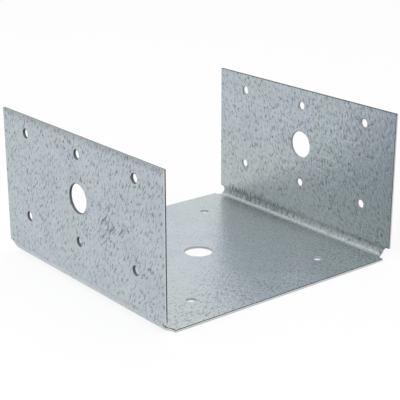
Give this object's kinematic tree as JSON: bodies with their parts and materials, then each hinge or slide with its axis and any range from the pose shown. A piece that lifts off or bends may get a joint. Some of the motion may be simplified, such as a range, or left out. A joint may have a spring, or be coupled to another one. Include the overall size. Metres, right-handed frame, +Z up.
{
  "type": "timber post base",
  "caption": "Folded galvanised steel post base: a flat base plate between two upright flanges, with nail holes, a cross-bolt hole and an anchor-bolt hole.",
  "frame": {"origin": "centre of the underside of the base plate", "axes": "+X from the left flange to the right flange, across the post; +Y along the bends, from front to back; +Z up, along the post"},
  "size_m": [0.1422, 0.1324, 0.0755],
  "materials": {
    "galvanised_steel": "galvanised zinc, light bluish grey and slightly mottled, with small dimples and streaks"
  },
  "bodies": {
    "root": {"post_base": "galvanised_steel"}
  },
  "joints": []
}
